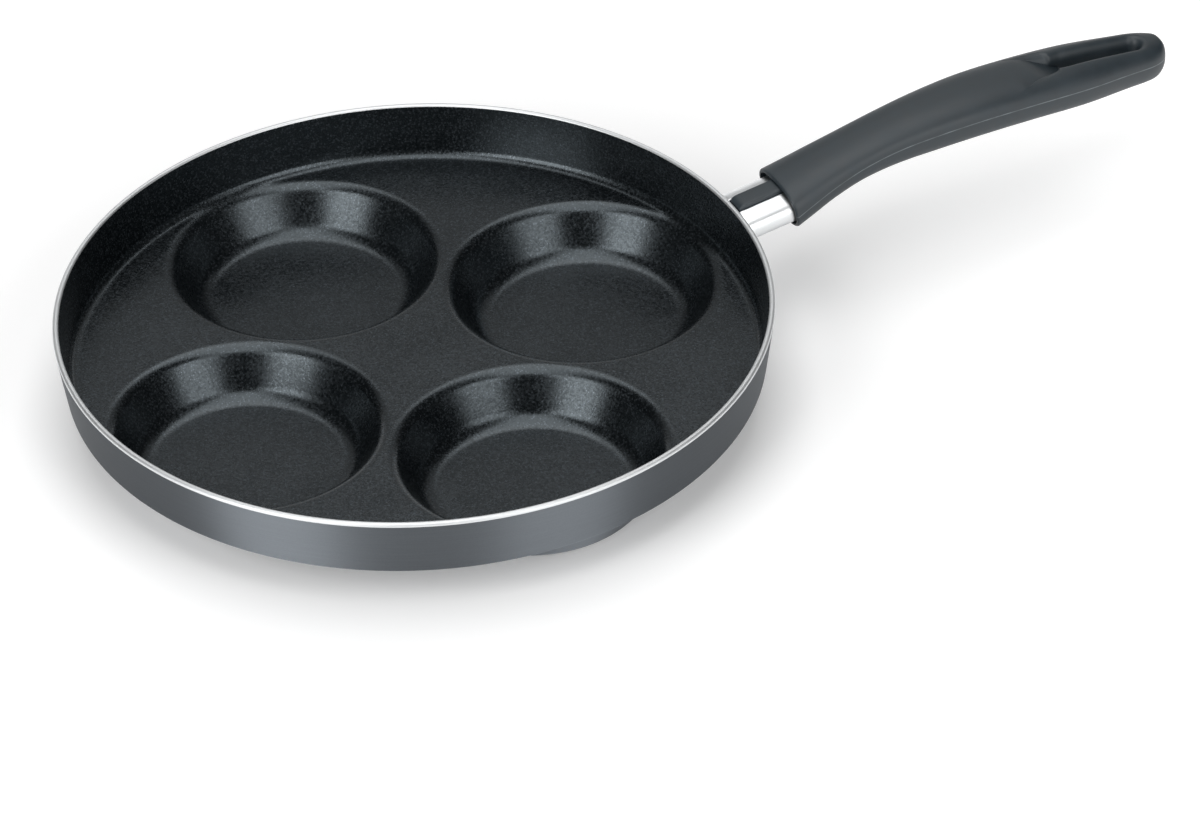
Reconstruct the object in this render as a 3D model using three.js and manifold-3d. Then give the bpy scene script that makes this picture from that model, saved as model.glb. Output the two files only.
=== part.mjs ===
import * as THREE from 'three';
import { mergeVertices } from 'three/addons/utils/BufferGeometryUtils.js';
import Module from 'manifold-3d';

const wasm = await Module();
wasm.setup();

// Millimetres. The pan's axis is Z, the handle runs out along +X,
// and z = 0 is the flat underside of the floor between the cups.

// Pressed aluminium pan
const SHEET = 2.2;
const RIM_RADIUS = 125;
const RIM_TOP = 22.2;
const RIM_ROUND = 0.5;
const WALL_TAPER = 0.15;
const FOOT_EDGE_RADIUS = 1;
const WALL_FILLET_RADIUS = 3.2;
const DISH_SEGMENTS = 80;

// The four cups pressed into the floor
const CUP_COUNT = 4;
const CUP_CENTRE_RADIUS = 70.2;
const CUP_FIRST_ANGLE = 7.9 * Math.PI / 180;
const CUP_MOUTH_RADIUS = 46.46;
const CUP_DEPTH = 16;
const CUP_WALL_TAPER = 0.574;
const CUP_SHOULDER_RADIUS = 5;
const CUP_CORNER_RADIUS = 7;
const CUP_SEGMENTS = 40;

// Clearance left between neighbouring pieces
const GAP = 0.3;

// Steel flame guard: an oval sleeve on a line that climbs away from the wall
const GUARD_START = new THREE.Vector3(128, 0, 16);
const GUARD_SLOPE = Math.atan(0.125);
const GUARD_HALF_WIDTH = 11.8;
const GUARD_HALF_HEIGHT = 5.5;
const GUARD_WALL = 0.8;
const GUARD_FRONT = -6;
const GUARD_REAR = 16.4;
const OVAL_POWER = 2.6;
const OVAL_POINTS = 36;

// Key rib of the grip, seen as a dark tongue along the top of the guard
const RIB_WIDTH = 7.6;
const RIB_TOP = 6.9;
const RIB_UNDERSIDE = 4.4;
const RIB_START = -2;
const RIB_NOSE = 3.2;
const RIB_NOSE_HEIGHT = 4.9;

// Moulded grip
const GRIP_TIP = 298.4;
const WIDTH_ROUND_FROM = 285.5;
const WIDTH_ROUND_POWER = 2.5;
const TOP_ROUND_FROM = 296;
const TOP_ROUND_POWER = 2.4;
const UNDER_ROUND_FROM = 290.5;
const UNDER_ROUND_POWER = 2.2;
const GRIP_POINTS = 36;
const UPPER_POWER = 2.5;
const LOWER_POWER = 2.4;
const MOUTH_LEAN = 0.18;
const LEAN_FADES_OVER = 40;
const SOCKET_SPACE = 0.7;
const SOCKET_DEPTH = 17;
const CORE_FRONT = 8;

// Hanging slot and the ramp that runs down into its front end
const SLOT_FRONT_X = 258.2;
const SLOT_FRONT_RADIUS = 4.4;
const SLOT_REAR_X = 285.7;
const SLOT_REAR_RADIUS = 3.5;
const SLOT_FLARE = 1.3;
const ARM_EDGE_WIDTH = 2.6;
const ARM_EDGE_DEPTH = 7;
const RAMP_FRONT_X = 234.2;
const RAMP_FRONT_HALF = 10.9;
const RAMP_WALL_LEAN = 0.3;
const RAMP_WALL_HEIGHT = 12;
const RAMP_TOP = new THREE.Vector3(243.2, 0, 40.3);
const RAMP_FOOT = new THREE.Vector3(259.2, 0, 33);

// Hidden fixing: a threaded stud on the wall and a screw driven from under the grip
const SCREW_START = new THREE.Vector3(126, 0, 16.2);
const SCREW_SLOPE = Math.atan(0.02);
const STUD_RADIUS = 3.7;
const STUD_LENGTH = 8;
const SCREW_RADIUS = 2;
const SCREW_TIP = 1.5;
const SCREW_CHAMFER = 0.6;
const SEAT = 21.2;
const BORE_RADIUS = 2.35;
const HEAD_RECESS_RADIUS = 4.3;
const RECESS_LENGTH = 50;
const WASHER_RADIUS = 4;
const WASHER_THICKNESS = 0.8;
const LOCK_RADIUS = 3.5;
const LOCK_THICKNESS = 1.2;
const LOCK_SPLIT = 0.2;
const HEAD_RADIUS = 3.5;
const HEAD_HEIGHT = 2.6;
const HEAD_EDGE = 0.6;
const HEAD_SLOT_WIDTH = 1.2;
const HEAD_SLOT_DEPTH = 1.1;
const ROUND_SEGMENTS = 32;

// Stations along the grip: place, half width, top, underside and parting line
const GRIP = [
  { x: 142.8, half: 14.4, top: 26.4, under: 10.1, parting: 18.3 },
  { x: 150, half: 13.4, top: 28.4, under: 12.6, parting: 21.0 },
  { x: 160, half: 12.3, top: 31.1, under: 16.4, parting: 24.7 },
  { x: 172, half: 11.6, top: 33.9, under: 19.7, parting: 28.3 },
  { x: 186, half: 11.7, top: 36.9, under: 21.5, parting: 31.1 },
  { x: 202, half: 12.7, top: 39.1, under: 22.3, parting: 32.9 },
  { x: 220, half: 13.7, top: 40.3, under: 22.9, parting: 33.9 },
  { x: 240, half: 13.8, top: 40.3, under: 22.6, parting: 33.6 },
  { x: 262, half: 12.9, top: 39.6, under: 21.5, parting: 32.4 },
  { x: 282, half: 10.6, top: 37.6, under: 21.3, parting: 31.2 },
  { x: 300, half: 9.0, top: 35.2, under: 21.1, parting: 29.9 },
];

// Turns a closed geometry into a solid that can be joined and cut
function solid(geometry) {
  geometry.deleteAttribute('normal');
  geometry.deleteAttribute('uv');
  const merged = mergeVertices(geometry, 1e-4);
  const corners = merged.index.array;
  const triVerts = [];
  for (let i = 0; i < corners.length; i += 3) {
    const [a, b, c] = corners.slice(i, i + 3);
    if (a !== b && b !== c && c !== a) {
      triVerts.push(a, b, c);
    }
  }
  return new wasm.Manifold(new wasm.Mesh({
    numProp: 3,
    vertProperties: new Float32Array(merged.attributes.position.array),
    triVerts: new Uint32Array(triVerts),
  }));
}

// Turns a solid back into a geometry for a mesh
function surface(body) {
  const mesh = body.getMesh();
  const geometry = new THREE.BufferGeometry();
  geometry.setAttribute('position', new THREE.Float32BufferAttribute(mesh.vertProperties, 3));
  geometry.setIndex(Array.from(mesh.triVerts));
  geometry.computeVertexNormals();
  return geometry;
}

// Polyline from [radius, height, fillet radius, fillet steps] corners, fillets drawn as arcs
function filleted(corners) {
  const points = [];
  corners.forEach(([r, z, fillet, steps], i) => {
    const corner = new THREE.Vector2(r, z);
    if (!fillet) {
      points.push(corner);
      return;
    }
    const before = new THREE.Vector2(...corners[i - 1]).sub(corner).normalize();
    const after = new THREE.Vector2(...corners[i + 1]).sub(corner).normalize();
    const half = Math.acos(before.dot(after)) / 2;
    const middle = before.clone().add(after).normalize();
    const centre = corner.clone().addScaledVector(middle, fillet / Math.sin(half));
    const start = corner.clone().addScaledVector(before, fillet / Math.tan(half)).sub(centre);
    const turn = Math.PI - 2 * half;
    const way = Math.sign(after.cross(before));
    for (let k = 0; k <= steps; k += 1) {
      points.push(start.clone().rotateAround(new THREE.Vector2(), way * turn * k / steps).add(centre));
    }
  });
  return points;
}

// Solid of revolution about Z from a profile that begins and ends on the axis
function turned(corners, segments) {
  return solid(new THREE.LatheGeometry(filleted(corners), segments).rotateX(Math.PI / 2));
}

// Closed skin over a row of rings with the same number of points
function skinned(rings) {
  const count = rings[0].length;
  const positions = rings.flat().flatMap((p) => p.toArray());
  const index = [];
  for (let i = 0; i + 1 < rings.length; i += 1) {
    for (let k = 0; k < count; k += 1) {
      const a = i * count + k;
      const b = i * count + (k + 1) % count;
      index.push(a, b, a + count, b, b + count, a + count);
    }
  }
  [rings[0], rings.at(-1)].forEach((ring, end) => {
    const centre = ring.reduce((sum, p) => sum.add(p), new THREE.Vector3()).divideScalar(count);
    const hub = positions.push(...centre.toArray()) / 3 - 1;
    const base = end ? (rings.length - 1) * count : 0;
    for (let k = 0; k < count; k += 1) {
      const a = base + k;
      const b = base + (k + 1) % count;
      index.push(hub, end ? a : b, end ? b : a);
    }
  });
  const geometry = new THREE.BufferGeometry();
  geometry.setAttribute('position', new THREE.Float32BufferAttribute(positions, 3));
  geometry.setIndex(index);
  return solid(geometry);
}

// Point of a superellipse with separate powers above and below
function oval(angle, halfWidth, above, below, upperPower, lowerPower) {
  const c = Math.cos(angle);
  const s = Math.sin(angle);
  const power = s > 0 ? upperPower : lowerPower;
  const height = s > 0 ? above : below;
  return [
    halfWidth * Math.sign(c) * Math.abs(c) ** (2 / power),
    height * Math.sign(s) * Math.abs(s) ** (2 / power),
  ];
}

// Moves a piece built along +X from the origin onto a climbing line
function along(start, slope) {
  return (geometry) => geometry.rotateY(-slope).translate(start.x, start.y, start.z);
}

const ontoGuardLine = along(GUARD_START, GUARD_SLOPE);
const ontoScrewLine = along(SCREW_START, SCREW_SLOPE);

// Oval bar on the guard's line, grown or shrunk evenly from the guard's outside
function ovalBar(from, to, grow) {
  const rings = [from, to].map((x) => Array.from({ length: OVAL_POINTS }, (_, k) => {
    const angle = 2 * Math.PI * k / OVAL_POINTS;
    const height = GUARD_HALF_HEIGHT + grow;
    const [y, z] = oval(angle, GUARD_HALF_WIDTH + grow, height, height, OVAL_POWER, OVAL_POWER);
    const cos = Math.cos(GUARD_SLOPE);
    const sin = Math.sin(GUARD_SLOPE);
    return new THREE.Vector3(x * cos - z * sin, y, x * sin + z * cos).add(GUARD_START);
  }));
  return skinned(rings);
}

// Round bar on the screw's line
function roundBar(radius, from, to) {
  const bar = new THREE.CylinderGeometry(radius, radius, to - from, ROUND_SEGMENTS);
  return solid(ontoScrewLine(bar.rotateZ(-Math.PI / 2).translate((from + to) / 2, 0, 0)));
}

// Value of one column of the grip's stations at x, smooth through the stations
function station(key, x) {
  const last = GRIP.length - 2;
  const i = Math.max(0, Math.min(last, GRIP.findIndex((row) => row.x > x) - 1));
  const j = x >= GRIP.at(-1).x ? last : i;
  const rise = (a, b) => (GRIP[b][key] - GRIP[a][key]) / (GRIP[b].x - GRIP[a].x);
  const slopeAt = (k) => rise(Math.max(k - 1, 0), Math.min(k + 1, last + 1));
  const span = GRIP[j + 1].x - GRIP[j].x;
  const t = (x - GRIP[j].x) / span;
  const ease = t * t * (3 - 2 * t);
  const bend = slopeAt(j) * t * (1 - t) ** 2 - slopeAt(j + 1) * t * t * (1 - t);
  return GRIP[j][key] * (1 - ease) + GRIP[j + 1][key] * ease + span * bend;
}

// Falls from 1 to 0 between x = from and the tip, as the quarter of a superellipse
function tipRound(x, from, power) {
  const u = Math.max(0, (x - from) / (GRIP_TIP - from));
  return (1 - u ** power) ** (1 / power);
}

// One cross-section of the grip; those near the mouth lean square to the climbing guard
function gripRing(x) {
  const wide = station('half', x) * tipRound(x, WIDTH_ROUND_FROM, WIDTH_ROUND_POWER);
  const parting = station('parting', x);
  const above = (station('top', x) - parting) * tipRound(x, TOP_ROUND_FROM, TOP_ROUND_POWER);
  const below = (parting - station('under', x)) * tipRound(x, UNDER_ROUND_FROM, UNDER_ROUND_POWER);
  const lean = MOUTH_LEAN * Math.max(0, 1 - (x - GRIP[0].x) / LEAN_FADES_OVER);
  return Array.from({ length: GRIP_POINTS }, (_, k) => {
    const angle = 2 * Math.PI * k / GRIP_POINTS;
    const [y, z] = oval(angle, wide, above, below, UPPER_POWER, LOWER_POWER);
    return new THREE.Vector3(x - z * lean, y, parting + z);
  });
}

// Outline of the hanging slot, grown sideways; heightAt gives each point's height from its x
function slotRing(grow, heightAt) {
  const front = SLOT_FRONT_RADIUS + grow;
  const rear = SLOT_REAR_RADIUS + grow;
  const steps = 10;
  const ring = [];
  const addPoint = (x, y) => ring.push(new THREE.Vector3(x, y, heightAt(x)));
  for (let k = 0; k <= steps; k += 1) {
    const angle = -Math.PI / 2 + Math.PI * k / steps;
    addPoint(SLOT_REAR_X + rear * Math.cos(angle), rear * Math.sin(angle));
  }
  for (let k = 0; k <= steps; k += 1) {
    const angle = Math.PI / 2 + Math.PI * k / steps;
    addPoint(SLOT_FRONT_X + front * Math.cos(angle), front * Math.sin(angle));
  }
  return ring;
}

// Slot right through the grip, its upper edges rounded off into the arms beside it
function slotSpace() {
  const steps = 4;
  const rounded = Array.from({ length: steps + 1 }, (_, k) => {
    const turn = Math.PI / 2 * k / steps;
    const depth = ARM_EDGE_DEPTH * (1 - Math.sin(turn));
    return slotRing(ARM_EDGE_WIDTH * (1 - Math.cos(turn)), (x) => station('top', x) - depth);
  });
  return skinned([
    slotRing(SLOT_FLARE, () => 0),
    ...rounded,
    slotRing(ARM_EDGE_WIDTH, (x) => station('top', x) + ARM_EDGE_DEPTH),
  ]);
}

// Tapering ramp that runs down from the grip's top into the slot's front end, between leaning walls
function rampSpace() {
  const fall = (RAMP_FOOT.z - RAMP_TOP.z) / (RAMP_FOOT.x - RAMP_TOP.x);
  const narrowing = (SLOT_FRONT_RADIUS - RAMP_FRONT_HALF) / (SLOT_FRONT_X - RAMP_FRONT_X);
  const corner = (x, side, lift) => {
    const half = RAMP_FRONT_HALF + narrowing * (x - RAMP_FRONT_X) + RAMP_WALL_LEAN * lift;
    return new THREE.Vector3(x, side * half, RAMP_TOP.z + fall * (x - RAMP_TOP.x) + lift);
  };
  return skinned([0, RAMP_WALL_HEIGHT].map((lift) => [
    corner(RAMP_FRONT_X, -1, lift),
    corner(RAMP_FOOT.x, -1, lift),
    corner(RAMP_FOOT.x, 1, lift),
    corner(RAMP_FRONT_X, 1, lift),
  ]));
}

// Space the dished pan takes up, grown sideways, to trim what meets its wall
function wallSpace(grow) {
  const foot = RIM_RADIUS - WALL_TAPER * RIM_TOP + grow;
  return turned([
    [0, -GAP],
    [foot, -GAP, FOOT_EDGE_RADIUS, 2],
    [RIM_RADIUS + grow, RIM_TOP],
    [RIM_RADIUS + grow, 2 * RIM_TOP],
    [0, 2 * RIM_TOP],
  ], DISH_SEGMENTS);
}

function panBody() {
  const outerFoot = RIM_RADIUS - WALL_TAPER * RIM_TOP;
  const innerFoot = RIM_RADIUS - SHEET - WALL_TAPER * (RIM_TOP - SHEET);
  let body = turned([
    [0, 0],
    [outerFoot, 0, FOOT_EDGE_RADIUS, 2],
    [RIM_RADIUS, RIM_TOP, RIM_ROUND, 3],
    [RIM_RADIUS - SHEET, RIM_TOP, RIM_ROUND, 3],
    [innerFoot, SHEET, WALL_FILLET_RADIUS, 4],
    [0, SHEET],
  ], DISH_SEGMENTS);
  const shift = SHEET * Math.hypot(1, CUP_WALL_TAPER);
  const outside = (z) => CUP_MOUTH_RADIUS + shift - CUP_WALL_TAPER * (SHEET - z);
  const bottom = SHEET - CUP_DEPTH;
  const shell = [
    [0, bottom - SHEET],
    [outside(bottom - SHEET), bottom - SHEET, CUP_CORNER_RADIUS + SHEET, 3],
    [outside(0), 0, CUP_SHOULDER_RADIUS - SHEET, 2],
    [outside(0) + SHEET, 0],
    [outside(0) + SHEET, SHEET / 2],
    [0, SHEET / 2],
  ];
  const hollow = [
    [0, bottom],
    [CUP_MOUTH_RADIUS - CUP_WALL_TAPER * CUP_DEPTH, bottom, CUP_CORNER_RADIUS, 3],
    [CUP_MOUTH_RADIUS, SHEET, CUP_SHOULDER_RADIUS, 3],
    [CUP_MOUTH_RADIUS + SHEET, SHEET],
    [CUP_MOUTH_RADIUS + SHEET, 2 * SHEET],
    [0, 2 * SHEET],
  ];
  for (let k = 0; k < CUP_COUNT; k += 1) {
    const angle = CUP_FIRST_ANGLE + 2 * Math.PI * k / CUP_COUNT;
    const place = [CUP_CENTRE_RADIUS * Math.cos(angle), CUP_CENTRE_RADIUS * Math.sin(angle), 0];
    body = body.add(turned(shell, CUP_SEGMENTS).translate(place));
    body = body.subtract(turned(hollow, CUP_SEGMENTS).translate(place));
  }
  return body;
}

function flameGuard() {
  const slot = new THREE.BoxGeometry(2 * GUARD_REAR, RIB_WIDTH + 2 * GAP, GUARD_HALF_HEIGHT);
  return ovalBar(GUARD_FRONT, GUARD_REAR, 0)
    .subtract(ovalBar(2 * GUARD_FRONT, 2 * GUARD_REAR, -GUARD_WALL))
    .subtract(solid(ontoGuardLine(slot.translate(GUARD_REAR / 2, 0, GUARD_HALF_HEIGHT))))
    .subtract(wallSpace(GAP));
}

// Side view of the key rib: a blunt nose that rises in a quarter ellipse to the flat top
function keyRib() {
  const outline = new THREE.Shape();
  outline.moveTo(RIB_START, RIB_UNDERSIDE);
  outline.lineTo(CORE_FRONT, RIB_UNDERSIDE);
  outline.lineTo(CORE_FRONT, 0);
  outline.lineTo(SOCKET_DEPTH + GAP, 0);
  outline.lineTo(SOCKET_DEPTH + GAP, RIB_TOP);
  outline.lineTo(RIB_START + RIB_NOSE, RIB_TOP);
  outline.absellipse(
    RIB_START + RIB_NOSE, RIB_NOSE_HEIGHT, RIB_NOSE, RIB_TOP - RIB_NOSE_HEIGHT, Math.PI / 2, Math.PI);
  const rib = new THREE.ExtrudeGeometry(outline, { depth: RIB_WIDTH, bevelEnabled: false, curveSegments: 6 });
  return solid(ontoGuardLine(rib.rotateX(Math.PI / 2).translate(0, RIB_WIDTH / 2, 0)));
}

function handleGrip() {
  const places = [142.8, 146, 150, 155, 160, 166, 172, 179, 186, 194, 202, 211, 220, 230, 240, 251, 262, 270,
    276, 282, 286, 289, 291.5, 293.5, 295.2, 296.6, 297.6, 298.1, 298.35];
  let body = skinned(places.map(gripRing));
  body = body.subtract(ovalBar(0, SOCKET_DEPTH, SOCKET_SPACE));
  const notch = new THREE.BoxGeometry(2 * SOCKET_DEPTH, RIB_WIDTH + 2 * GAP, RIB_TOP + GAP);
  body = body.subtract(solid(ontoGuardLine(notch.translate(0, 0, (RIB_TOP + GAP) / 2))));
  body = body.add(ovalBar(CORE_FRONT, SOCKET_DEPTH + GAP, -GUARD_WALL - GAP));
  body = body.add(keyRib());
  body = body.subtract(slotSpace());
  body = body.subtract(rampSpace());
  body = body.subtract(roundBar(BORE_RADIUS, 0, SEAT + 1));
  body = body.subtract(roundBar(HEAD_RECESS_RADIUS, SEAT, SEAT + RECESS_LENGTH));
  return body.subtract(wallSpace(2 * GAP));
}

function weldStud() {
  return roundBar(STUD_RADIUS, -STUD_LENGTH, STUD_LENGTH)
    .subtract(roundBar(SCREW_RADIUS + GAP, SCREW_TIP - 1, 2 * STUD_LENGTH))
    .subtract(wallSpace(GAP));
}

// Piece turned about the screw's line, from [radius, place] corners
function turnedOnScrew(corners) {
  const geometry = new THREE.LatheGeometry(filleted(corners), ROUND_SEGMENTS);
  return solid(ontoScrewLine(geometry.rotateZ(-Math.PI / 2)));
}

function handleScrew() {
  const seat = SEAT + WASHER_THICKNESS + LOCK_THICKNESS + 3 * GAP;
  const top = seat + HEAD_HEIGHT;
  const screw = turnedOnScrew([
    [0, SCREW_TIP],
    [SCREW_RADIUS - SCREW_CHAMFER, SCREW_TIP],
    [SCREW_RADIUS, SCREW_TIP + SCREW_CHAMFER],
    [SCREW_RADIUS, seat],
    [HEAD_RADIUS, seat],
    [HEAD_RADIUS, top, HEAD_EDGE, 3],
    [0, top],
  ]);
  const slot = new THREE.BoxGeometry(2 * HEAD_SLOT_DEPTH, 3 * HEAD_RADIUS, HEAD_SLOT_WIDTH);
  return screw.subtract(solid(ontoScrewLine(slot.translate(top, 0, 0))));
}

function flatWasher() {
  const from = SEAT + GAP;
  return roundBar(WASHER_RADIUS, from, from + WASHER_THICKNESS)
    .subtract(roundBar(SCREW_RADIUS + GAP, from - 1, from + WASHER_THICKNESS + 1));
}

// Ring split on one side
function springWasher() {
  const from = SEAT + WASHER_THICKNESS + 2 * GAP;
  const inner = SCREW_RADIUS + GAP;
  const ring = new THREE.Shape();
  ring.absarc(0, 0, LOCK_RADIUS, LOCK_SPLIT, 2 * Math.PI - LOCK_SPLIT, false);
  ring.absarc(0, 0, inner, 2 * Math.PI - LOCK_SPLIT, LOCK_SPLIT, true);
  const washer = new THREE.ExtrudeGeometry(ring, {
    depth: LOCK_THICKNESS, bevelEnabled: false, curveSegments: 28,
  });
  return solid(ontoScrewLine(washer.rotateY(Math.PI / 2).translate(from, 0, 0)));
}

const assembly = new THREE.Group();
assembly.name = 'four_cup_pancake_pan';

function addPiece(name, body, color, roughness, metalness) {
  const material = new THREE.MeshStandardMaterial({ color, roughness, metalness });
  const mesh = new THREE.Mesh(surface(body), material);
  mesh.name = name;
  assembly.add(mesh);
}

addPiece('pan_body', panBody(), 0x3c4145, 0.5, 0.3);
addPiece('weld_stud', weldStud(), 0xb9bcbe, 0.4, 1);
addPiece('flame_guard', flameGuard(), 0xd4d6d8, 0.15, 1);
addPiece('handle_grip', handleGrip(), 0x44494c, 0.6, 0);
addPiece('handle_screw', handleScrew(), 0xa9acae, 0.35, 1);
addPiece('flat_washer', flatWasher(), 0xb4b6b8, 0.35, 1);
addPiece('spring_washer', springWasher(), 0x8f9294, 0.4, 1);

export default assembly;
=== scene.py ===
import math

import bmesh
import bpy
import numpy as np
from mathutils import Matrix


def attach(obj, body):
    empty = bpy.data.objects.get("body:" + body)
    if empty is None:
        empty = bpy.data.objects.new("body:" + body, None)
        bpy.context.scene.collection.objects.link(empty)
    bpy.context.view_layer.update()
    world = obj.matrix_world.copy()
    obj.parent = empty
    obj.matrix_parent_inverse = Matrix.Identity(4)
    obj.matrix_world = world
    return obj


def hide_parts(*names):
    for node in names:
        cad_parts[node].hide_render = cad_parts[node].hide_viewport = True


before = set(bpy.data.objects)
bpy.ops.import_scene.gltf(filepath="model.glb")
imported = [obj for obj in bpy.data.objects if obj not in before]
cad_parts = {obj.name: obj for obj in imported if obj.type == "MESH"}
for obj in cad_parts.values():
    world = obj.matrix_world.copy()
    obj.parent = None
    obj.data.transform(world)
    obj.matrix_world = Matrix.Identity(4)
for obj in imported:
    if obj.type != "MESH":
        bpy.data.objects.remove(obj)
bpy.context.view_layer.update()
print("frame loaded")

mm = 0.001  # shapes are worked out in millimetres
weldWithin = 3e-6  # metres: points nearer than this become one
slivers = 1e-7  # metres: edges shorter than this are taken out
sharpFrom = math.radians(50)  # edges of the grip and its rib turn sharp past this angle


def toLinear(hexColour):
    # sRGB hex to linear red, green, blue and alpha
    c = np.array([int(hexColour[i:i + 2], 16) for i in (1, 3, 5)]) / 255
    return (*np.where(c <= 0.04045, c / 12.92, ((c + 0.055) / 1.055) ** 2.4), 1.0)


def addNode(tree, kind, settings={}, inputs={}):
    # a node with its settings, its inputs set to values or linked to other nodes' sockets
    node = tree.nodes.new(kind)
    for name, value in settings.items():
        setattr(node, name, value)
    for name, value in inputs.items():
        if isinstance(value, bpy.types.NodeSocket):
            tree.links.new(value, node.inputs[name])
        else:
            node.inputs[name].default_value = value
    return node


def newMaterial(name):
    # an empty material and its tree
    material = bpy.data.materials.new(name)
    material.use_nodes = True
    material.node_tree.nodes.clear()
    return material, material.node_tree


def gridFaces(rows, columns, start, wrap):
    # quads of a rows x columns grid of points; a wrapped grid joins its last column to its first
    i, j = np.meshgrid(np.arange(rows - 1), np.arange(columns if wrap else columns - 1), indexing="ij")
    k = (j + 1) % columns
    quads = np.stack([i * columns + j, i * columns + k, (i + 1) * columns + k, (i + 1) * columns + j], -1)
    return quads.reshape(-1, 4) + start


def makePiece(name, patches, materials, replaced):
    # patches are (grid of points in mm, wraps or not, material number); shared edges are welded
    points, quads, slots, start = [], [], [], 0
    for grid, wrap, number in patches:
        rows, columns = grid.shape[:2]
        quads.append(gridFaces(rows, columns, start, wrap))
        slots.append(np.full(len(quads[-1]), number))
        points.append(grid.reshape(-1, 3))
        start += rows * columns
    mesh = bpy.data.meshes.new(name)
    mesh.from_pydata((np.concatenate(points) * mm).tolist(), [], np.concatenate(quads).tolist())
    mesh.polygons.foreach_set("material_index", np.concatenate(slots).astype(np.int32))
    shell = bmesh.new()
    shell.from_mesh(mesh)
    bmesh.ops.remove_doubles(shell, verts=shell.verts, dist=weldWithin)
    bmesh.ops.dissolve_degenerate(shell, edges=shell.edges, dist=slivers)
    bmesh.ops.recalc_face_normals(shell, faces=shell.faces)
    shell.to_mesh(mesh)
    shell.free()
    mesh.shade_smooth()
    for material in materials:
        mesh.materials.append(material)
    piece = bpy.data.objects.new(name, mesh)
    bpy.context.scene.collection.objects.link(piece)
    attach(piece, "root")
    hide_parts(replaced)
    print(name, len(mesh.vertices), "points")
    return piece


def rounded(corners, steps):
    # a profile of [radius, height, fillet] corners: straight runs, each fillet an arc that touches both
    line = []
    for n, (r, z, fillet) in enumerate(corners):
        corner = np.array([r, z])
        if not fillet:
            line.append(corner[None])
            continue
        before = np.array(corners[n - 1][:2]) - corner
        after = np.array(corners[n + 1][:2]) - corner
        before, after = before / np.hypot(*before), after / np.hypot(*after)
        half = np.arccos(before @ after) / 2
        middle = (before + after) / np.hypot(*(before + after))
        centre = corner + middle * fillet / np.sin(half)
        side = before - middle * (before @ middle)
        side = side / np.hypot(*side)
        turn = np.linspace(-1, 1, steps + 1)[:, None] * (np.pi / 2 - half)
        line.append(centre - fillet * (np.cos(turn) * middle + np.sin(turn) * side))
    return np.concatenate(line)


def oval(angle, halfWidth, above, below, power):
    # superellipse: across and up, with its own height above and below
    c, s = np.cos(angle), np.sin(angle)
    across = halfWidth * np.sign(c) * np.abs(c) ** (2 / power)
    up = np.where(s > 0, above, below) * np.sign(s) * np.abs(s) ** (2 / power)
    return across, up


# materials

coatLook = {
    "colour": "#010203", "grain": "#05080a", "fleck": "#565c61", "sheen": "#e4f2fa", "ior": 1.66,
    "roughness": 0.27, "glossSpread": 0.13, "grit": 0.95, "bump": 0.45, "bumpHeight": 0.12,
    "fleckSpacing": 0.75, "fleckCore": 0.2, "fleckEdge": 0.45, "fleckless": 0.5, "cloud": 30.0,
    "cloudShare": 0.3,
}


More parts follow.
